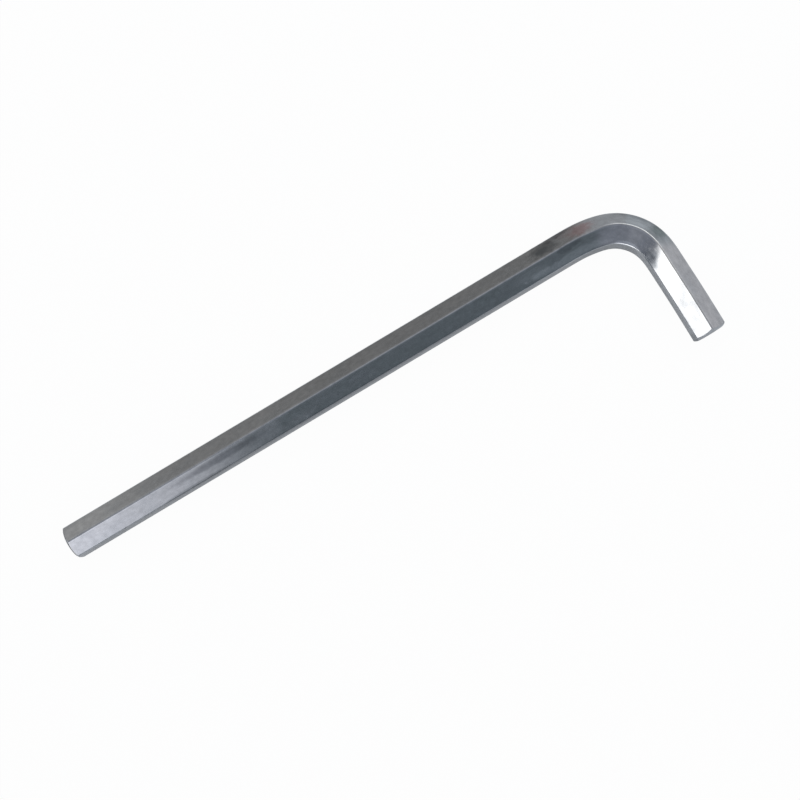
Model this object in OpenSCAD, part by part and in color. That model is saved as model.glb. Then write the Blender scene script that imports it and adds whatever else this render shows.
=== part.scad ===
// Hex key: one length of hexagonal steel bar, bent once near an end.
// It lies on a bench with the bend flat. The long arm runs towards -X and the short arm towards -Y.
// A corner of the bar points up all the way, so the bar's flats form the inside and outside of the bend.

/* [Bar] */
// Width across the flats, the size of the screw socket that the key turns
across_flats = 14; // [10:0.5:19]
// Radius of the six long corners, left round by drawing the bar through its die
corner_radius = 0.8; // [0.3:0.1:1.4]

/* [Arms] */
// Length of the long arm, from its tip to the outside of the short arm
long_arm = 287; // [180:1:360]
// Length of the short arm, from its tip to the outside of the long arm
short_arm = 70.5; // [62:0.5:120]

/* [Bend] */
// Radius of the bar's centre line round the tight part of the bend
bend_radius = 22.5; // [18:0.5:28]
// Radius of the centre line where the long arm eases into the bend
lead_in_radius = 50; // [30:1:80]
// Angle that the bar turns through while it eases into the bend
lead_in_angle = 16; // [6:1:24]

/* [Tips] */
// Depth of the turned chamfer at a corner of the bar, measured along the arm
tip_chamfer = 1.2; // [0.6:0.1:2.4]
// Angle between the chamfer and the flat face of the tip
chamfer_angle = 34; // [30:1:50]

/* [Hidden] */
$fn = 120;

// Angle between the two arms
arm_angle = 90;
// Flat facets that round one corner of the bar
corner_facets = 6;

// The bar's section: from its centre to a flat, to a corner's own centre, and to the rounded corner
flat_reach = across_flats / 2;
corner_centre = (flat_reach - corner_radius) / cos(30);
corner_reach = corner_centre + corner_radius;

// The centre line, seen from above, with the point where the two arms' centre lines would cross at 0, 0
main_angle = arm_angle - lead_in_angle;
lead_in_start_x = -lead_in_radius * sin(lead_in_angle) - bend_radius * (1 - sin(lead_in_angle));
main_end_y = -lead_in_radius * (1 - cos(lead_in_angle)) - bend_radius * cos(lead_in_angle);

// The straight part of each arm, from the bend to the tip
long_straight = long_arm - flat_reach + lead_in_start_x;
short_straight = short_arm - flat_reach + main_end_y;

// Radius of the flat face that the chamfer leaves at each tip
tip_face_radius = corner_reach - tip_chamfer / tan(chamfer_angle);
// The turned blank is this much wider than the bar, and the bar is cut off this much too long
blank_margin = 2;

// Moves its child by a coarse step and then by the small rest, so that faces that meet do so to the last digit
module place(shift) {
    coarse = [for (reach = shift) round(reach * 1000) / 1000];
    translate(coarse)
        translate(shift - coarse)
            children();
}

// Points round one corner of the section, corner number k
function corner_points(k) = [
    for (i = [0:corner_facets])
        let (turn = 60 * (k - 0.5) + 60 * i / corner_facets)
            corner_centre * [cos(60 * k), sin(60 * k)] + corner_radius * [cos(turn), sin(turn)]
];

// Section of the bar, with a corner on the second axis, which is up in every part of the key
module bar_section() {
    rotate(90)
        polygon([for (k = [0:5]) each corner_points(k)]);
}

// Everything that a lathe tool leaves of an arm that stands on the bend, with its tip at the given length
module turned_blank(length) {
    blank_radius = corner_reach + blank_margin;
    shoulder = length - (blank_radius - tip_face_radius) * tan(chamfer_angle);
    rotate_extrude()
        polygon([
            [0, -blank_margin],
            [blank_radius, -blank_margin],
            [blank_radius, shoulder],
            [tip_face_radius, length],
            [0, length],
        ]);
}

// A straight arm, standing on the plane where it meets the bend
module straight_arm(length) {
    intersection() {
        linear_extrude(length + blank_margin)
            bar_section();
        turned_blank(length);
    }
}

// A stretch of the bend about the Z axis: it starts at one angle from +X and turns through the other
module bent_bar(radius, from, sweep) {
    rotate_extrude(angle = sweep, start = from)
        translate([radius, 0])
            bar_section();
}

module long_straight_arm() {
    place([lead_in_start_x, 0, 0])
        rotate([0, -90, 0])
            rotate(90)
                straight_arm(long_straight);
}

module short_straight_arm() {
    place([0, main_end_y, 0])
        rotate([90, 0, 0])
            straight_arm(short_straight);
}

// The long arm's easier curve into the bend
module lead_in() {
    place([lead_in_start_x, -lead_in_radius, 0])
        bent_bar(lead_in_radius, main_angle, lead_in_angle);
}

// The tight curve, down to the short arm
module tight_bend() {
    place([-bend_radius, main_end_y, 0])
        bent_bar(bend_radius, 0, main_angle);
}

// The whole key, moved so that 0, 0, 0 is under the middle of its outline, on the bench
module hex_key() {
    color([0.74, 0.75, 0.77])
        translate([long_arm / 2 - flat_reach, short_arm / 2 - flat_reach, corner_reach])
            union() {
                long_straight_arm();
                lead_in();
                tight_bend();
                short_straight_arm();
            }
}

hex_key();
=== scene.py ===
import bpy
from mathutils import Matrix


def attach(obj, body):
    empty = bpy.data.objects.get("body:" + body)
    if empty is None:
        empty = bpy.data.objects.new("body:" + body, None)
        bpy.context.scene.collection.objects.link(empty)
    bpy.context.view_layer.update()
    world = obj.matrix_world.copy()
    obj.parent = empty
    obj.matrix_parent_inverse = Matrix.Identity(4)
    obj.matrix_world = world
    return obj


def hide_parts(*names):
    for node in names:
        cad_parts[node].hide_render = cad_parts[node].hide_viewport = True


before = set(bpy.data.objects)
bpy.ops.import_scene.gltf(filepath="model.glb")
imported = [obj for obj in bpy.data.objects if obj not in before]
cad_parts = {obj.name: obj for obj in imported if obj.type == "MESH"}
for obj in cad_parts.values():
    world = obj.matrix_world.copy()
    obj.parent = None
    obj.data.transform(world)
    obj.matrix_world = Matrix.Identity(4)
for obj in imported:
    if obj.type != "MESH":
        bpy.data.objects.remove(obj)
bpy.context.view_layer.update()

"""Hex key, dressed for its photograph.

The key is one length of hexagonal steel bar, bent once near an end and nickel-chrome plated.
It is built as one swept mesh with true rounded corners, turned tips and a bend whose section has
given way a little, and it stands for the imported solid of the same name. Lengths on the key are
in millimetres in the classes below and turn to metres as the mesh is made.
"""

import logging
import math
from dataclasses import dataclass
from enum import Enum
from typing import Optional, Sequence

import bpy
import numpy as np
from mathutils import Euler

LOG = logging.getLogger("hex_key")

MM = 0.001
CAD_NODE = "hex_key"
BODY = "root"
BAR_COORDS = "bar_mm"
TIP_SHARE = "tip_share"

Colour = tuple[float, float, float, float]
NodeInput = object


def linear(hex_colour: str) -> Colour:
    """Turn an sRGB hex colour to a linear one.

    Args:
        hex_colour: Six hex digits with a leading #.

    Returns:
        Red, green, blue and an alpha of 1, each from 0 to 1.
    """
    channels = []
    for start in (1, 3, 5):
        value = int(hex_colour[start:start + 2], 16) / 255
        channels.append(value / 12.92 if value <= 0.04045 else ((value + 0.055) / 1.055) ** 2.4)
    return (*channels, 1.0)


def add_node(tree: bpy.types.NodeTree, kind: str, settings: Optional[dict[str, object]] = None,
             inputs: Optional[dict[object, NodeInput]] = None) -> bpy.types.Node:
    """Add a node, with its settings and its links.

    Args:
        tree: Node tree that the node goes into.
        kind: Blender's name for the kind of node.
        settings: Values for the node's own properties.
        inputs: For each input's name or number, a value or an output socket to link from.

    Returns:
        The new node.
    """
    node = tree.nodes.new(kind)
    for name, value in (settings or {}).items():
        setattr(node, name, value)
    for name, value in (inputs or {}).items():
        if isinstance(value, bpy.types.NodeSocket):
            tree.links.new(value, node.inputs[name])
        else:
            node.inputs[name].default_value = value
    return node


class Arm(Enum):
    """The two ends of the bar."""

    LONG = "long"
    SHORT = "short"


@dataclass
class CentreLine:
    """The bar's centre line, seen from above, in the part's frame.

    Attributes:
        steps: Distance along the bar of each sample, in mm.
        points: X and Y of each sample, in mm.
        length: Length of the bar, in mm.
        tight: Where the tight bend starts and ends, in mm along the bar.
        curved: Where the bar starts and stops turning at all, in mm along the bar.
    """

    steps: np.ndarray
    points: np.ndarray
    length: float
    tight: tuple[float, float]
    curved: tuple[float, float]

    def at(self, along: np.ndarray) -> tuple[np.ndarray, np.ndarray]:
        """Read the line at some distances.

        Args:
            along: Distances from the long arm's tip, in mm.

        Returns:
            Points, and unit directions to the outside of the bend.
        """
        slopes = np.gradient(self.points, self.steps, axis=0)
        slopes /= np.linalg.norm(slopes, axis=1)[:, None]
        point = np.stack([np.interp(along, self.steps, self.points[:, k]) for k in (0, 1)], axis=1)
        heading = np.stack([np.interp(along, self.steps, slopes[:, k]) for k in (0, 1)], axis=1)
        heading /= np.linalg.norm(heading, axis=1)[:, None]
        outward = np.stack([-heading[:, 1], heading[:, 0]], axis=1)
        return point, outward


@dataclass
class BarSection:
    """The bar's cross-section, a hexagon with rounded corners, one of them straight up.

    Attributes:
        across_flats: Width across the flats, in mm.
        corner_radius: Radius of the drawn corners, in mm.
        flat_strips: Strips of faces across one flat.
        corner_strips: Strips of faces round one corner.
    """

    across_flats: float = 14.0
    corner_radius: float = 0.8
    flat_strips: int = 6
    corner_strips: int = 6

    @property
    def corner_reach(self) -> float:
        """Distance from the bar's centre to a rounded corner, in mm."""
        return self.corner_centre + self.corner_radius

    @property
    def corner_centre(self) -> float:
        """Distance from the bar's centre to the centre of a corner's rounding, in mm."""
        return (self.across_flats / 2 - self.corner_radius) / math.cos(math.radians(30))

    def outline(self) -> tuple[np.ndarray, np.ndarray]:
        """Walk round the section.

        Returns:
            Points and unit normals, with the outward direction first and up second, in mm.
        """
        points, normals = [], []
        for corner in range(6):
            middle = math.radians(90 + 60 * corner)
            centre = self.corner_centre * np.array([math.cos(middle), math.sin(middle)])
            for k in range(self.corner_strips + 1):
                turn = middle + math.radians(-30 + 60 * k / self.corner_strips)
                normal = np.array([math.cos(turn), math.sin(turn)])
                points.append(centre + self.corner_radius * normal)
                normals.append(normal)
            after = middle + math.radians(60)
            end = self.corner_centre * np.array([math.cos(after), math.sin(after)])
            flat_normal = normals[-1]
            start, finish = points[-1], end + self.corner_radius * flat_normal
            for k in range(1, self.flat_strips):
                points.append(start + (finish - start) * k / self.flat_strips)
                normals.append(flat_normal)
        return np.array(points), np.array(normals)


def smooth(share: np.ndarray) -> np.ndarray:
    """Ease from 0 to 1 as a share goes from 0 to 1."""
    held = np.clip(share, 0, 1)
    return held * held * (3 - 2 * held)


@dataclass
class BendFlow:
    """How the bar's section gives way in the cold bend.

    Attributes:
        ridge: How far the top and bottom ridges move outwards in the bend, in mm.
        ridge_rest: How far they still do on the short arm, in mm.
        outer: How far the outer corners move outwards in the bend, in mm.
        inner: How far the inner corners do, in mm.
        inner_rest: How far they still do on the short arm, in mm.
        swell: How far the inner corners spread up and down in the bend, in mm.
        overbend: How far the short tip stands inwards of square, in mm.
        bow: Length of the short arm's end that bows inwards, in mm.
        lead: How far before the tight bend the section starts to move, in mm.
        rise: Length over which it does so, in mm.
        trail: How far past the tight bend the section comes to rest, in mm.
        fall: Length over which it does so, in mm.
        swell_fall: Length over which the corners' spread ends, in mm.
        ridge_spread: How soft the moved ridge's crest is, in mm.
        half_width: Distance from the bar's middle to its corners, outwards, in mm.
        half_height: Distance from the bar's middle to its side corners, upwards, in mm.
    """

    ridge: float = 1.25
    ridge_rest: float = 0.2
    outer: float = 0.12
    inner: float = 0.42
    inner_rest: float = 0.13
    swell: float = 0.3
    overbend: float = 0.4
    bow: float = 27.0
    lead: float = 7.0
    rise: float = 15.0
    trail: float = 5.0
    fall: float = 20.0
    swell_fall: float = 7.0
    ridge_spread: float = 0.6
    half_width: float = 6.9
    half_height: float = 3.98

    def moved(self, line: CentreLine, along: np.ndarray, across: np.ndarray) -> np.ndarray:
        """Move points of the straight bar's section.

        Args:
            line: The bar's centre line.
            along: Distance of each point along the bar, in mm.
            across: Its place in the section, outwards and up from the bar's middle, in mm.

        Returns:
            Its new place in the section, in mm.
        """
        start, end = line.tight
        out, up = across[:, 0], across[:, 1]
        to_rest = end + self.trail - along
        rise = smooth((along - start + self.lead) / self.rise)
        fall = smooth(to_rest / self.fall)
        ridge = rise * (self.ridge_rest + (self.ridge - self.ridge_rest) * fall)
        inner = rise * (self.inner_rest + (self.inner - self.inner_rest) * fall)
        outer = rise * fall * self.outer
        soft = self.ridge_spread
        crest = 1 - (np.hypot(out, soft) - soft) / (math.hypot(self.half_width, soft) - soft)
        share = out / self.half_width
        middle = (outer + inner) / 2
        shift = middle + (outer - inner) / 2 * share + (ridge - middle) * crest
        bowed = np.clip((along - line.length + self.bow) / self.bow, 0, None)
        shift = shift - self.overbend * bowed ** 2
        late = rise * smooth(to_rest / self.swell_fall)
        held = np.clip(up / self.half_height, -1, 1)
        return np.column_stack([out + shift, up - self.swell * late * np.minimum(share, 0) * held])


@dataclass
class HexKey:
    """The whole key: arms, bend and tips, from the same sizes as the part's source.

    Attributes:
        section: The bar's cross-section.
        flow: How the section gives way in the bend.
        long_arm: Long tip to the outside of the short arm, in mm.
        short_arm: Short tip to the outside of the long arm, in mm.
        bend_radius: Radius of the centre line in the tight bend, in mm.
        lead_in_radius: Radius where the long arm eases into the bend, in mm.
        lead_in_angle: Angle of that easing, in degrees.
        tip_chamfer: Depth of the long tip's turned chamfer at a corner, along the arm, in mm.
        short_chamfer: The same at the short tip, in mm.
        chamfer_angle: Angle between the long tip's chamfer and its face, in degrees.
        short_chamfer_angle: The same at the short tip, in degrees.
        easing: How softly the bend starts and ends, as a spread along the bar, in mm.
        tip_edge: Width of the softened edges of the chamfer, in mm.
        tip_bias: How much shallower the long tip's chamfer is at its outer corners, in mm.
        tip_slant: How far the foot of the short tip's face stands back from its top, in mm.
    """

    section: BarSection
    flow: BendFlow
    long_arm: float = 287.0
    short_arm: float = 70.5
    bend_radius: float = 22.5
    lead_in_radius: float = 50.0
    lead_in_angle: float = 16.0
    tip_chamfer: float = 1.2
    short_chamfer: float = 0.9
    chamfer_angle: float = 34.0
    short_chamfer_angle: float = 27.0
    easing: float = 3.0
    tip_edge: float = 0.16
    tip_bias: float = 0.35
    tip_slant: float = 0.55

    def centre_line(self) -> CentreLine:
        """Lay out the bar's centre line.

        Returns:
            The line, sampled every tenth of a millimetre.
        """
        lead = math.radians(self.lead_in_angle)
        tight = math.radians(90) - lead
        half_flat = self.section.across_flats / 2
        reach_x = self.lead_in_radius * math.sin(lead) + self.bend_radius * (1 - math.sin(lead))
        reach_y = self.lead_in_radius * (1 - math.cos(lead)) + self.bend_radius * math.cos(lead)
        long_straight = self.long_arm - half_flat - reach_x
        short_straight = self.short_arm - half_flat - reach_y
        lead_end = long_straight + self.lead_in_radius * lead
        bend_end = lead_end + self.bend_radius * tight
        total = bend_end + short_straight
        margin, step = 20.0, 0.1
        count = int(round((total + 2 * margin) / step))
        steps = np.linspace(-margin, total + margin, count + 1)
        angle = -np.clip((steps - long_straight) / self.lead_in_radius, 0, lead)
        angle -= np.clip((steps - lead_end) / self.bend_radius, 0, tight)
        heading = np.stack([np.cos(angle), np.sin(angle)], axis=1)
        gaps = np.diff(steps)[:, None]
        walk = np.vstack([[0.0, 0.0], np.cumsum((heading[1:] + heading[:-1]) / 2 * gaps, axis=0)])
        start = np.array([-self.long_arm / 2 - margin, self.short_arm / 2 - half_flat])
        spread = self.easing / (steps[1] - steps[0])
        reach = int(4 * spread)
        kernel = np.exp(-0.5 * (np.arange(-reach, reach + 1) / spread) ** 2)
        kernel /= kernel.sum()
        soft = [np.convolve(column, kernel, mode="valid") for column in (walk[:, 0], walk[:, 1])]
        inner = slice(reach, len(steps) - reach)
        return CentreLine(steps[inner], np.stack(soft, axis=1) + start, total,
                          (lead_end, bend_end), (long_straight, bend_end))

    def stations(self, line: CentreLine) -> np.ndarray:
        """Choose where the rings of vertices stand, closer together where the bar turns.

        Args:
            line: The bar's centre line.

        Returns:
            Distances from the long tip, in mm, without the rings of the tips.
        """
        first, last = line.curved
        margin, wide, close, clear = 12.0, 1.6, 0.55, 1.0
        keep = self.tip_chamfer + clear
        spans = [(keep, first - margin, wide), (first - margin, last + margin, close),
                 (last + margin, line.length - keep, wide)]
        rings = []
        for begin, end, gap in spans:
            count = max(1, int(round((end - begin) / gap)))
            rings.extend(np.linspace(begin, end, count, endpoint=False))
        rings.append(line.length - keep)
        return np.array(rings)

    def tip_rings(self, arm: Arm, length: float) -> list[tuple[np.ndarray, np.ndarray, np.ndarray]]:
        """Turn one tip: its face, its chamfer and their worn edges.

        Args:
            arm: Which end of the bar.
            length: Length of the bar, in mm.

        Returns:
            Rings from the middle of the face outwards. Each has distances from the tip's face, points
            of the section, and normals in section and heading, in mm.
        """
        points, normals = self.section.outline()
        reach = np.linalg.norm(points, axis=1)
        radial = points / reach[:, None]
        chamfer, angle = self.tip_chamfer, self.chamfer_angle
        if arm is Arm.SHORT:
            chamfer, angle = self.short_chamfer, self.short_chamfer_angle
        slope = math.radians(angle)
        rim = self.section.corner_reach - chamfer / math.tan(slope)
        depth = (reach - rim) * math.tan(slope)
        if arm is Arm.LONG:
            depth -= self.tip_bias * np.clip(points[:, 0] / self.section.corner_reach, 0, 1)
        zero = np.zeros(len(points))
        facing = np.column_stack([zero, zero, zero - 1])
        cone = np.column_stack([radial * math.sin(slope), zero - math.cos(slope)])
        side = np.column_stack([normals, zero])
        edge, rim_share, side_share = self.tip_edge, 0.8, 0.6
        rings = []
        for share in (0.25, 0.5, 0.75):
            rings.append((zero, radial * rim * share, facing))
        rings.append((zero, radial * (rim - edge), facing))
        near_rim = rim + edge * rim_share
        rings.append((zero + (near_rim - rim) * math.tan(slope), radial * near_rim, cone))
        near_side = (reach - edge * side_share)[:, None]
        rings.append((depth - edge * side_share * math.tan(slope), radial * near_side, cone))
        rings.append((depth + edge, points, side))
        if arm is Arm.SHORT:
            foot = self.tip_slant / (2 * self.section.corner_reach)
            rings = [(length - gap - foot * (self.section.corner_reach - place[:, 1]), place,
                      normal * (1, 1, -1)) for gap, place, normal in rings]
        return rings

    def build(self) -> bpy.types.Object:
        """Make the key's mesh, with its own normals and the bar's coordinates on each vertex.

        Returns:
            The key as one object.
        """
        line = self.centre_line()
        points, normals = self.section.outline()
        around = len(points)
        zero = np.zeros(around)
        side = np.column_stack([normals, zero])
        first = self.tip_rings(Arm.LONG, line.length)
        between = [(zero + along, points, side) for along in self.stations(line)]
        last = self.tip_rings(Arm.SHORT, line.length)[::-1]
        rings = first + between + last
        turned_rings = len(first) - 1
        cut = np.zeros((len(rings), around))
        cut[:turned_rings] = 1
        cut[-turned_rings:] = 1
        cut = np.append(cut.ravel(), [1, 1])
        along = np.concatenate([ring[0] for ring in rings])
        across = np.concatenate([ring[1] for ring in rings])
        turned = np.concatenate([ring[2] for ring in rings])
        along = np.append(along, [0.0, line.length - self.tip_slant / 2])
        across = np.vstack([across, np.zeros((2, 2))])
        turned = np.vstack([turned, [[0, 0, -1], [0, 0, 1]]])
        place, normal = self.sweep(line, along, across, turned)
        faces = self.skin(len(rings), around)
        mesh = bpy.data.meshes.new("bent_hexagon_bar")
        mesh.from_pydata((place * MM).tolist(), [], faces)
        mesh.polygons.foreach_set("use_smooth", [True] * len(mesh.polygons))
        coords = mesh.attributes.new(BAR_COORDS, "FLOAT_VECTOR", "POINT")
        coords.data.foreach_set("vector", np.column_stack([along, across]).astype(np.float32).ravel())
        tips = mesh.attributes.new(TIP_SHARE, "FLOAT", "POINT")
        tips.data.foreach_set("value", cut.astype(np.float32))
        mesh.normals_split_custom_set_from_vertices(normal.tolist())
        mesh.update()
        key = bpy.data.objects.new("plated_hex_key", mesh)
        bpy.context.scene.collection.objects.link(key)
        return key

    def sweep(self, line: CentreLine, along: np.ndarray, across: np.ndarray,
              turned: np.ndarray) -> tuple[np.ndarray, np.ndarray]:
        """Carry points of the straight bar and their normals to the bent key.

        Args:
            line: The bar's centre line.
            along: Distance of each point along the bar, in mm.
            across: Its place in the section, outward and up, in mm.
            turned: Its normal there, outward, up and along.

        Returns:
            Places, in mm, and unit normals in the part's frame.
        """
        gap = 0.05
        turn = np.column_stack([-turned[:, 1], turned[:, 0]])
        place = self.carried(line, along, across)
        ahead = self.carried(line, along + gap, across) - self.carried(line, along - gap, across)
        aside = (self.carried(line, along, across + turn * gap)
                 - self.carried(line, along, across - turn * gap))
        side = np.cross(aside, ahead)
        side /= np.linalg.norm(side, axis=1)[:, None]
        ahead /= np.linalg.norm(ahead, axis=1)[:, None]
        flat = np.hypot(turned[:, 0], turned[:, 1])
        normal = side * flat[:, None] + ahead * turned[:, 2:3]
        return place, normal / np.linalg.norm(normal, axis=1)[:, None]

    def carried(self, line: CentreLine, along: np.ndarray, across: np.ndarray) -> np.ndarray:
        """Carry points of the straight bar to the bent key.

        Args:
            line: The bar's centre line.
            along: Distance of each point along the bar, in mm.
            across: Its place in the section, outward and up, in mm.

        Returns:
            Places in the part's frame, in mm.
        """
        point, outward = line.at(along)
        moved = self.flow.moved(line, along, across)
        return np.column_stack([point + outward * moved[:, :1], moved[:, 1] + self.section.corner_reach])

    @staticmethod
    def skin(rings: int, around: int) -> list[tuple[int, ...]]:
        """Join the rings and close both tips.

        Args:
            rings: How many rings there are.
            around: How many vertices a ring has.

        Returns:
            Faces as vertex numbers, with their fronts outwards.
        """
        faces = []
        for ring in range(rings - 1):
            low, high = ring * around, (ring + 1) * around
            for k in range(around):
                beside = (k + 1) % around
                faces.append((low + k, low + beside, high + beside, high + k))
        first, last = rings * around, rings * around + 1
        top = (rings - 1) * around
        for k in range(around):
            beside = (k + 1) % around
            faces.append((first, beside, k))
            faces.append((last, top + k, top + beside))
        return faces


@dataclass(frozen=True)
class Blot:
    """A mark on the plate, with a ragged edge.

    Attributes:
        centre: Its middle, along the bar from the long tip, outward and up, in mm.
        size: Its half sizes the same way, in mm.
        tint: What it multiplies the plate's colour by, as sRGB hex.
        gain: What it multiplies its brightness by as well.
        haze: Roughness that it adds.
        ragged: How ragged its edge is.
    """

    centre: tuple[float, float, float]
    size: tuple[float, float, float]
    tint: str
    gain: float = 1.0
    haze: float = 0.0
    ragged: float = 0.9


@dataclass(frozen=True)
class NickelChromePlate:
    """Nickel-chrome plate over cold drawn steel bar, tumbled and not buffed.

    Drawing leaves fine lines along the bar, and the thin plate keeps them: the metal mirrors its
    surroundings in soft, slightly streaked and clouded shapes, with small pits. The turned tips are
    rougher and stay grey under the plate, and a painted highlight makes the crests of the top and
    bottom ridges brighter.
    Real drawn lines and pits are finer than a pixel of the photograph, which covers about 0.5 mm
    of the key, so they are made about as coarse as one to show at all.

    Attributes:
        plate: Colour of clean plate.
        film: Colour under the film of oil and handling.
        tip: What the turned tips multiply the colour by.
        polish: Roughness of clean plate.
        haze: Roughness where the film is thickest.
        tip_haze: Roughness of the turned tips.
        ridge_highlight: How many times brighter the painted highlight makes the top and bottom ridges.
        filmed: Cloud noise from no film to full film.
        hazed: Cloud noise from polish to haze.
        flecked: Fleck noise from the darkest fleck to the brightest.
        fleck_gain: What those two multiply the colour by.
        cloud: Size of the film's clouds along the bar, outward and up, in mm.
        mottle: Size of the flecks the same way, in mm.
        streak: Size of the drawn lines, in mm.
        wave: Size of the slow waves in the flats, in mm.
        grain: Size of the pits, in mm.
        relief: Height of the waves, in metres.
        drawn: Height of the drawn lines, as a share of that.
        pitted: Height of the pits the same way.
        blots: Marks on the plate: painted shade, painted highlights and painted reflections, and a few spots
            of tint.
    """

    plate: str = "#c5c6c7"
    film: str = "#bcbec0"
    tip: str = "#f8f9fa"
    polish: float = 0.1
    haze: float = 0.2
    tip_haze: float = 0.35
    ridge_highlight: float = 1.16
    filmed: tuple[float, float] = (0.42, 0.72)
    hazed: tuple[float, float] = (0.35, 0.8)
    flecked: tuple[float, float] = (0.25, 0.75)
    fleck_gain: tuple[float, float] = (0.88, 1.11)
    cloud: tuple[float, float, float] = (12.0, 6.0, 6.0)
    mottle: tuple[float, float, float] = (2.4, 1.7, 1.7)
    streak: tuple[float, float, float] = (30.0, 0.55, 0.55)
    wave: tuple[float, float, float] = (28.0, 7.0, 7.0)
    grain: tuple[float, float, float] = (0.7, 0.45, 0.45)
    relief: float = 0.00002
    drawn: float = 0.25
    pitted: float = 0.06
    blots: tuple[Blot, ...] = (
        # Painted shade: the very end of the long tip is darkened
        Blot((0.0, 0.0, 0.0), (0.75, 30.0, 30.0), "#b4b5b7", 1.0, 0.0, 0.0),
        # Painted shade: darker stretches beside the top ridge and along the inner corner
        Blot((75.0, -2.4, 6.6), (23.0, 1.7, 1.7), "#d0d1d3", 1.0, 0.0, 0.15),
        Blot((60.0, -6.6, 4.15), (19.0, 0.9, 0.9), "#d8d9da", 1.0, 0.0, 0.15),
        # Painted shade: darker stretches of the inner flat
        Blot((130.0, -7.1, 3.2), (110.0, 0.7, 2.9), "#c6c7c9", 1.0, 0.0, 0.15),
        Blot((331.5, -6.9, 0.0), (3.6, 1.0, 5.0), "#c2c3c5", 1.0, 0.0, 0.3),
        Blot((256.0, -6.9, 0.0), (10.0, 1.0, 6.0), "#eeeff0", 1.0, 0.0, 0.3),
        # Dark spots before the bend
        Blot((238.5, 3.6, 6.0), (8.0, 3.8, 3.4), "#d0d2d3"),
        Blot((245.0, 6.0, 4.5), (7.0, 1.5, 1.5), "#dadadb"),
        Blot((236.8, 3.0, 6.2), (3.6, 1.6, 1.6), "#e4e7e9", 1.0, 0.0, 0.6),
        # A reddish patch, and after it a greenish spot
        Blot((253.5, 3.8, 5.7), (8.5, 4.0, 3.4), "#fff4f3", 1.06, 0.03),
        Blot((255.4, 3.3, 6.0), (5.6, 3.4, 3.0), "#ffedec", 1.0, 0.03),
        Blot((286.0, 4.6, 5.4), (2.8, 2.8, 2.6), "#e8edeb"),
        # Painted reflection: bright, cloudy patches on the upper inner flat; painted shade: a darker place
        # beside the ridge
        Blot((228.0, -3.4, 6.0), (10.0, 2.4, 2.2), "#ffffff", 1.1, 0.05, 1.5),
        Blot((246.0, -5.2, 5.0), (22.0, 1.9, 2.1), "#ffffff", 1.35, 0.05, 1.5),
        Blot((247.0, -1.2, 7.2), (6.0, 1.5, 1.4), "#e4e5e6", 1.0, 0.0, 0.8),
        # Painted shade on the bend's outer corner, and painted highlights along its ridge's outer side and
        # its inner corner
        Blot((277.0, 6.2, 4.4), (9.0, 1.6, 1.6), "#e0e1e2", 1.0, 0.0, 0.5),
        Blot((279.0, 2.2, 6.7), (7.0, 1.2, 1.2), "#ffffff", 1.14, 0.0, 0.8),
        Blot((277.0, -6.45, 4.25), (8.0, 1.0, 1.0), "#ffffff", 1.45, 0.0, 0.15),
        # Painted shade at the end of the bend, and a painted reflection that brightens the inner flat beside
        # it
        Blot((291.6, -3.7, 5.8), (2.7, 2.0, 2.0), "#c2c5c9", 1.0, 0.0, 0.4),
        Blot((292.8, -5.7, 4.7), (5.4, 2.4, 2.4), "#c4c7cb", 1.0, 0.0, 0.5),
        Blot((289.0, -6.9, 0.0), (8.0, 1.0, 6.0), "#ffffff", 1.18, 0.0, 0.3),
    )

    def build(self) -> bpy.types.Material:
        """Make the material.

        Returns:
            The plate, patterned by the bar's own coordinates in mm.
        """
        material = bpy.data.materials.new("nickel_chrome_plate")
        material.use_nodes = True
        tree = material.node_tree
        tree.nodes.clear()
        bar = add_node(tree, "ShaderNodeAttribute", {"attribute_name": BAR_COORDS}).outputs["Vector"]
        cut = add_node(tree, "ShaderNodeAttribute", {"attribute_name": TIP_SHARE}).outputs["Fac"]
        cloud = self.noise(tree, bar, self.cloud, 3.0)
        mottle = self.noise(tree, bar, self.mottle, 2.0)
        streak = self.noise(tree, bar, self.streak, 3.0)
        wave = self.noise(tree, bar, self.wave, 1.0)
        grain = self.noise(tree, bar, self.grain, 1.0)
        film = self.ranged(tree, cloud, self.filmed, (0.0, 1.0))
        colour = self.mixed(tree, film, linear(self.plate), linear(self.film), "MIX")
        fleck = self.ranged(tree, mottle, self.flecked, self.fleck_gain)
        colour = self.mixed(tree, 1.0, colour, fleck, "MULTIPLY")
        rough = self.ranged(tree, cloud, self.hazed, (self.polish, self.haze))
        ragged = add_node(tree, "ShaderNodeMath", {"operation": "ADD"}, {0: mottle, 1: cloud}).outputs[0]
        for blot in self.blots:
            mask = self.blotted(tree, bar, ragged, blot)
            red, green, blue, _ = linear(blot.tint)
            tint = (red * blot.gain, green * blot.gain, blue * blot.gain, 1.0)
            colour = self.mixed(tree, mask, colour, tint, "MULTIPLY")
            rough = add_node(tree, "ShaderNodeMath", {"operation": "MULTIPLY_ADD"},
                             {0: mask, 1: blot.haze, 2: rough}).outputs[0]
        # Painted highlight: the crests of the top and bottom ridges are made brighter
        edge = self.ridge_highlight_mask(tree, bar)
        colour = self.mixed(tree, edge, colour, (self.ridge_highlight, self.ridge_highlight, self.ridge_highlight, 1.0), "MULTIPLY")
        colour = self.mixed(tree, cut, colour, linear(self.tip), "MULTIPLY")
        rough = self.ranged(tree, cut, (0.0, 1.0), (rough, self.tip_haze))
        height = add_node(tree, "ShaderNodeMath", {"operation": "MULTIPLY_ADD"},
                          {0: streak, 1: self.drawn, 2: wave}).outputs[0]
        relief = add_node(tree, "ShaderNodeMath", {"operation": "MULTIPLY_ADD"},
                          {0: grain, 1: self.pitted, 2: height}).outputs[0]
        bump = add_node(tree, "ShaderNodeBump", {},
                        {"Strength": 1.0, "Distance": self.relief, "Height": relief})
        shader = add_node(tree, "ShaderNodeBsdfPrincipled", {}, {
            "Base Color": colour, "Metallic": 1.0, "Roughness": rough, "Normal": bump.outputs[0]})
        add_node(tree, "ShaderNodeOutputMaterial", {}, {"Surface": shader.outputs[0]})
        return material

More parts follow.
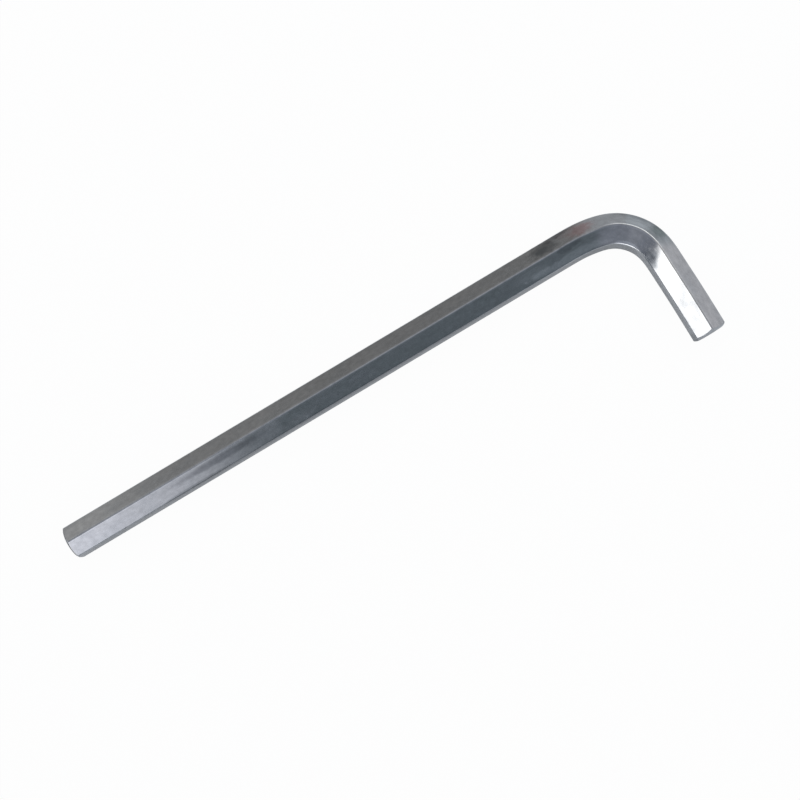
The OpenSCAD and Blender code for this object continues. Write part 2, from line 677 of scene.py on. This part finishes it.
    @staticmethod
    def noise(tree: bpy.types.NodeTree, bar: bpy.types.NodeSocket, grain: Sequence[float],
              detail: float) -> bpy.types.NodeSocket:
        """Add noise whose grain has a real size.

        Args:
            tree: Node tree of the material.
            bar: The bar's coordinates in mm.
            grain: Size of the noise along the bar, outward and up, in mm.
            detail: How many finer layers are added.

        Returns:
            The noise's value.
        """
        scaled = add_node(tree, "ShaderNodeVectorMath", {"operation": "DIVIDE"}, {0: bar, 1: tuple(grain)})
        field = add_node(tree, "ShaderNodeTexNoise", {},
                         {"Vector": scaled.outputs[0], "Scale": 1.0, "Detail": detail})
        return field.outputs[0]

    @staticmethod
    def ranged(tree: bpy.types.NodeTree, value: bpy.types.NodeSocket, source: Sequence[float],
               target: Sequence[NodeInput], easing: str = "LINEAR") -> bpy.types.NodeSocket:
        """Map one range of values to another and hold the ends.

        Args:
            tree: Node tree of the material.
            value: Value to map.
            source: Its low and high value.
            target: What they become, as values or sockets.
            easing: Blender's name for the kind of easing.

        Returns:
            The mapped value.
        """
        node = add_node(tree, "ShaderNodeMapRange", {"interpolation_type": easing},
                        {0: value, 1: source[0], 2: source[1], 3: target[0], 4: target[1]})
        return node.outputs[0]

    @staticmethod
    def mixed(tree: bpy.types.NodeTree, share: NodeInput, under: NodeInput, over: NodeInput,
              blend: str) -> bpy.types.NodeSocket:
        """Blend two colours.

        Args:
            tree: Node tree of the material.
            share: Share of the upper colour.
            under: Lower colour.
            over: Upper colour.
            blend: Blender's name for the kind of blend.

        Returns:
            The blended colour.
        """
        return add_node(tree, "ShaderNodeMix", {"data_type": "RGBA", "blend_type": blend},
                        {0: share, 6: under, 7: over}).outputs[2]

    def blotted(self, tree: bpy.types.NodeTree, bar: bpy.types.NodeSocket, ragged: bpy.types.NodeSocket,
                blot: Blot) -> bpy.types.NodeSocket:
        """Mask one blot.

        Args:
            tree: Node tree of the material.
            bar: The bar's coordinates in mm.
            ragged: Noise that tears the edge, around 1.
            blot: The blot.

        Returns:
            A share that is 1 inside the blot and 0 outside.
        """
        away = add_node(tree, "ShaderNodeVectorMath", {"operation": "SUBTRACT"}, {0: bar, 1: blot.centre})
        scaled = add_node(tree, "ShaderNodeVectorMath", {"operation": "DIVIDE"},
                          {0: away.outputs[0], 1: blot.size})
        gap = add_node(tree, "ShaderNodeVectorMath", {"operation": "LENGTH"}, {0: scaled.outputs[0]})
        torn = add_node(tree, "ShaderNodeMath", {"operation": "MULTIPLY_ADD"},
                        {0: ragged, 1: blot.ragged, 2: gap.outputs["Value"]}).outputs[0]
        full, none = blot.ragged + 0.5, blot.ragged + 1.25
        return self.ranged(tree, torn, (full, none), (1.0, 0.0), "SMOOTHSTEP")

    def ridge_highlight_mask(self, tree: bpy.types.NodeTree, bar: bpy.types.NodeSocket) -> bpy.types.NodeSocket:
        """Mask the crests of the top and bottom ridges, where the highlight is painted, by their distance
        from the bar's middle.

        Args:
            tree: Node tree of the material.
            bar: The bar's coordinates in mm.

        Returns:
            A share that is 1 on those ridges and 0 elsewhere.
        """
        near_crest, top_or_bottom = (7.55, 7.85), (5.0, 6.5)
        across = add_node(tree, "ShaderNodeVectorMath", {"operation": "MULTIPLY"},
                          {0: bar, 1: (0.0, 1.0, 1.0)})
        reach = add_node(tree, "ShaderNodeVectorMath", {"operation": "LENGTH"}, {0: across.outputs[0]})
        up = add_node(tree, "ShaderNodeSeparateXYZ", {}, {0: bar}).outputs[2]
        height = add_node(tree, "ShaderNodeMath", {"operation": "ABSOLUTE"}, {0: up}).outputs[0]
        held = self.ranged(tree, height, top_or_bottom, (0.0, 1.0))
        ridge_highlight = self.ranged(tree, reach.outputs["Value"], near_crest, (0.0, 1.0), "SMOOTHSTEP")
        return add_node(tree, "ShaderNodeMath", {"operation": "MULTIPLY"}, {0: ridge_highlight, 1: held}).outputs[0]


@dataclass(frozen=True)
class Patch:
    """A soft-edged bright or dark area on a studio card.

    Attributes:
        first: Low and high limit along the card's first axis, in metres.
        second: Low and high limit along its second axis, in metres.
        soft: Width of the edges along the first and second axis, in metres.
        colour: Colour as sRGB hex.
        level: Brightness, where 1 is white paper in the light.
    """

    first: tuple[float, float]
    second: tuple[float, float]
    soft: tuple[float, float]
    colour: str
    level: float


@dataclass(frozen=True)
class Card:
    """A large board that only the metal mirrors.

    Attributes:
        name: Name of the board.
        corners: Its four corners, in metres.
        axes: Numbers of the world axes that its patches are laid out along.
        ground: Colour of the bare board as sRGB hex.
        level: Brightness of the bare board.
        patches: Areas painted over it, in order.
    """

    name: str
    corners: tuple[tuple[float, float, float], ...]
    axes: tuple[int, int]
    ground: str
    level: float
    patches: tuple[Patch, ...]

    def build(self) -> None:
        mesh = bpy.data.meshes.new(self.name)
        mesh.from_pydata(self.corners, [], [(0, 1, 2, 3)])
        board = bpy.data.objects.new(self.name, mesh)
        bpy.context.scene.collection.objects.link(board)
        mesh.materials.append(self.paint())
        board.visible_camera = False
        board.visible_diffuse = False
        board.visible_shadow = False
        board.visible_transmission = False

    def paint(self) -> bpy.types.Material:
        """Make the board's glowing paint.

        Returns:
            A material whose brightness follows the patches.
        """
        material = bpy.data.materials.new(self.name)
        material.use_nodes = True
        tree = material.node_tree
        tree.nodes.clear()
        position = add_node(tree, "ShaderNodeNewGeometry").outputs["Position"]
        split = add_node(tree, "ShaderNodeSeparateXYZ", {}, {0: position})
        lit = self.scaled(self.ground, self.level)
        for patch in self.patches:
            masks = []
            for axis, limits, soft in zip(self.axes, (patch.first, patch.second), patch.soft):
                for limit, sign in ((limits[0], 1), (limits[1], -1)):
                    low, high = limit - soft / 2 * sign, limit + soft / 2 * sign
                    masks.append(add_node(
                        tree, "ShaderNodeMapRange", {"interpolation_type": "SMOOTHSTEP"},
                        {0: split.outputs[axis], 1: low, 2: high}).outputs[0])
            mask = masks[0]
            for other in masks[1:]:
                both = add_node(tree, "ShaderNodeMath", {"operation": "MULTIPLY"}, {0: mask, 1: other})
                mask = both.outputs[0]
            lit = add_node(tree, "ShaderNodeMix", {"data_type": "RGBA", "clamp_factor": True},
                           {0: mask, 6: lit, 7: self.scaled(patch.colour, patch.level)}).outputs[2]
        glow = add_node(tree, "ShaderNodeEmission", {}, {"Color": lit, "Strength": 1.0})
        add_node(tree, "ShaderNodeOutputMaterial", {}, {"Surface": glow.outputs[0]})
        return material

    @staticmethod
    def scaled(colour: str, level: float) -> Colour:
        """Multiply a colour by a brightness."""
        red, green, blue, _ = linear(colour)
        return (red * level, green * level, blue * level, 1.0)


@dataclass(frozen=True)
class Studio:
    """Plain pale floor, soft light and the boards that the metal mirrors.

    Attributes:
        floor_colour: Colour of the floor.
        floor_lift: How far the floor's own white hides the shadow from the camera.
        floor_mirrored: How far it does so in the metal.
        sky_shown: Brightness of the room behind the floor, where 1 is white.
        sky_light: Brightness of the plain light that it gives.
        floor_size: Half the floor's side, in metres.
        floor_gap: How far the floor lies under the key, in metres.
        roof_height: Height of the roof board, in metres.
        lamp_place: Where the soft lamp hangs, in metres.
        lamp_side: Length of its side, in metres.
        lamp_power: Its power, in watts.
    """

    floor_colour: str = "#c2c7ce"
    floor_lift: float = 0.971
    floor_mirrored: float = 0.1
    sky_shown: float = 0.995
    sky_light: float = 0.8
    floor_size: float = 6.0
    floor_gap: float = 0.00002
    roof_height: float = 1.2
    lamp_place: tuple[float, float, float] = (0.55, 0.75, 1.0)
    lamp_side: float = 0.9
    lamp_power: float = 5.0

    def build(self) -> None:
        """Set the whole studio up."""
        self.floor()
        self.sky()
        self.lamp()
        for card in self.cards():
            card.build()

    def floor(self) -> None:
        """It is white paper, smooth and matt, so it shows no gloss. A share of its own white hides most
        of the key's shadow from the camera, because the photograph shows hardly any.
        """
        half, low = self.floor_size, -self.floor_gap
        mesh = bpy.data.meshes.new("floor")
        corners = [(-half, -half, low), (half, -half, low), (half, half, low), (-half, half, low)]
        mesh.from_pydata(corners, [], [(0, 1, 2, 3)])
        floor = bpy.data.objects.new("floor", mesh)
        bpy.context.scene.collection.objects.link(floor)
        material = bpy.data.materials.new("white_paper_floor")
        material.use_nodes = True
        tree = material.node_tree
        tree.nodes.clear()
        path = add_node(tree, "ShaderNodeLightPath")
        mirrored = add_node(tree, "ShaderNodeMath", {"operation": "MAXIMUM"},
                            {0: path.outputs["Is Glossy Ray"], 1: path.outputs["Is Transmission Ray"]})
        seen = add_node(tree, "ShaderNodeMath", {"operation": "MULTIPLY"},
                        {0: path.outputs["Is Camera Ray"], 1: self.floor_lift})
        share = add_node(tree, "ShaderNodeMath", {"operation": "MULTIPLY_ADD"},
                         {0: mirrored.outputs[0], 1: self.floor_mirrored, 2: seen.outputs[0]})
        paper = add_node(tree, "ShaderNodeBsdfDiffuse", {}, {"Color": linear(self.floor_colour)})
        white = add_node(tree, "ShaderNodeEmission", {}, {"Color": (1, 1, 1, 1), "Strength": 1.0})
        mixed = add_node(tree, "ShaderNodeMixShader", {},
                         {0: share.outputs[0], 1: paper.outputs[0], 2: white.outputs[0]})
        add_node(tree, "ShaderNodeOutputMaterial", {}, {"Surface": mixed.outputs[0]})
        mesh.materials.append(material)

    def sky(self) -> None:
        """Fill the room with white that the camera and the metal see, and with plain light."""
        world = bpy.data.worlds.new("white_room")
        bpy.context.scene.world = world
        world.use_nodes = True
        tree = world.node_tree
        tree.nodes.clear()
        path = add_node(tree, "ShaderNodeLightPath")
        seen = add_node(tree, "ShaderNodeMath", {"operation": "MAXIMUM"},
                        {0: path.outputs["Is Camera Ray"], 1: path.outputs["Is Glossy Ray"]})
        shown = add_node(tree, "ShaderNodeMath", {"operation": "MAXIMUM"},
                         {0: seen.outputs[0], 1: path.outputs["Is Transmission Ray"]})
        level = add_node(tree, "ShaderNodeMapRange", {},
                         {0: shown.outputs[0], 3: self.sky_light, 4: self.sky_shown})
        back = add_node(tree, "ShaderNodeBackground", {},
                        {"Color": (1, 1, 1, 1), "Strength": level.outputs[0]})
        add_node(tree, "ShaderNodeOutputWorld", {}, {"Surface": back.outputs[0]})

    def lamp(self) -> None:
        """Hang a soft square lamp that faces the key."""
        data = bpy.data.lights.new("soft_lamp", "AREA")
        data.size = self.lamp_side
        data.energy = self.lamp_power
        lamp = bpy.data.objects.new("soft_lamp", data)
        lamp.location = self.lamp_place
        lamp.rotation_euler = (-lamp.location).to_track_quat("-Z", "Y").to_euler()
        lamp.visible_camera = False
        lamp.visible_glossy = False
        bpy.context.scene.collection.objects.link(lamp)

    def cards(self) -> list[Card]:
        """Describe the boards over and round the key.

        Returns:
            The roof and four walls.
        """
        top = self.roof_height
        wide = 3.2
        wall = 1.6
        front = -2.2
        roof = Card(
            "roof_board", ((-wide, -wide, top), (wide, -wide, top), (wide, wide, top), (-wide, wide, top)),
            (0, 1), "#e5edff", 0.32,
            (
                # The long arm's upper inner flat mirrors this dark part
                Patch((-0.5, 3.4), (-3.4, -1.2), (0.3, 0.3), "#def2ff", 0.165),
                # The end of the bend does this one
                Patch((-1.3, -0.74), (-0.14, 0.16), (0.12, 0.12), "#e5edff", 0.285),
                # Over and behind the key, and then what the middle of the bend mirrors
                Patch((-0.55, 3.4), (-0.15, 3.4), (0.3, 0.3), "#f0f4ff", 0.35),
                Patch((-0.7, -0.42), (-0.58, -0.2), (0.12, 0.14), "#eaf0ff", 0.39),
                # The top ridge mirrors these, the second of them as a white line in the bend
                Patch((-0.6, 3.4), (0.1, 0.32), (0.2, 0.08), "#ffffff", 0.5),
                Patch((0.75, 3.4), (0.28, 1.5), (0.25, 0.12), "#ffffff", 2.0),
                # The long arm's upper inner flat by its tip
                Patch((-3.4, -0.312), (-3.4, -1.0), (0.18, 0.25), "#f2f5ff", 0.76),
                Patch((-3.4, -0.54), (-3.4, -0.9), (0.3, 0.3), "#f3f5ff", 1.32),
                # Bright at the front left
                Patch((-3.4, -0.95), (-2.4, -0.55), (0.2, 0.15), "#ffffff", 2.2),
                # The short arm's upper inner flat
                Patch((-1.35, -0.937), (0.155, 1.4), (0.16, 0.05), "#ffffff", 2.3),
                Patch((-1.3, -1.085), (-0.1, 1.4), (0.08, 0.1), "#ffffff", 2.3),
            ),
        )
        back = Card(
            "back_board", ((-wide, wall, 0.0), (wide, wall, 0.0), (wide, wall, top), (-wide, wall, top)),
            (0, 2), "#ffffff", 0.235,
            (
                # The long arm's upper outer flat, lighter towards its tip
                Patch((-3.4, -0.12), (-1.0, 3.0), (0.12, 0.3), "#ffffff", 0.275),
                Patch((-3.4, -0.45), (-1.0, 3.0), (0.25, 0.3), "#ffffff", 0.46),
                # The start of the bend
                Patch((0.58, 3.4), (-1.0, 3.0), (0.2, 0.3), "#f5f9ff", 0.46),
            ),
        )
        side = Card(
            "side_board", ((wall, -wide, 0.0), (wall, wide, 0.0), (wall, wide, top), (wall, -wide, top)),
            (1, 2), "#eff7ff", 0.54,
            (
                # The short arm's upper outer flat, and the dark band on the bend before it
                Patch((-3.4, 0.3), (-1.0, 3.0), (0.15, 0.3), "#f8f9ff", 0.63),
                Patch((0.42, 0.82), (-1.0, 3.0), (0.15, 0.3), "#eef8ff", 0.4),
            ),
        )
        near = Card(
            "front_board", ((-wide, front, 0.0), (wide, front, 0.0), (wide, front, top), (-wide, front, top)),
            (0, 2), "#dbebff", 0.25,
            (
                Patch((-3.4, -1.0), (-1.0, 3.0), (0.5, 0.3), "#f2f5ff", 1.1),
            ),
        )
        left = Card(
            "left_board", ((-wide, -wide, 0.0), (-wide, wide, 0.0), (-wide, wide, top), (-wide, -wide, top)),
            (1, 2), "#f2f5ff", 0.4, (),
        )
        return [roof, back, side, near, left]


@dataclass(frozen=True)
class PhotoCamera:
    """The camera that took the photograph, in the part's frame.

    Attributes:
        place: Where it stands, in mm.
        turn: Its rotation about X, Y and Z, in degrees.
        lens: Focal length, in mm, on a sensor 36 mm wide.
    """

    place: tuple[float, float, float] = (6.040, -84.086, 582.185)
    turn: tuple[float, float, float] = (8.054, 4.429, -30.564)
    lens: float = 61.24

    def build(self) -> None:
        """Set the camera up as the scene's own."""
        data = bpy.data.cameras.new("photo_camera")
        data.lens = self.lens
        data.sensor_width = 36.0
        data.clip_start = 0.01
        data.clip_end = 50.0
        camera = bpy.data.objects.new("photo_camera", data)
        camera.location = [value * MM for value in self.place]
        camera.rotation_euler = Euler([math.radians(value) for value in self.turn], "XYZ")
        bpy.context.scene.collection.objects.link(camera)
        bpy.context.scene.camera = camera


def main() -> None:
    """Build the key, its finish, the studio and the camera."""
    logging.basicConfig(level=logging.INFO, format="%(name)s: %(message)s")
    bpy.context.scene.view_settings.view_transform = "Standard"
    PhotoCamera().build()
    key = HexKey(BarSection(), BendFlow()).build()
    key.data.materials.append(NickelChromePlate().build())
    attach(key, BODY)
    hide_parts(CAD_NODE)
    LOG.info("%s: %d faces, %.1f mm along its centre line", key.name, len(key.data.polygons),
             np.max([value.vector[0] for value in key.data.attributes[BAR_COORDS].data]))
    Studio().build()
    LOG.info("studio: floor, lamp and boards are set up")


if __name__ == "__main__":
    main()
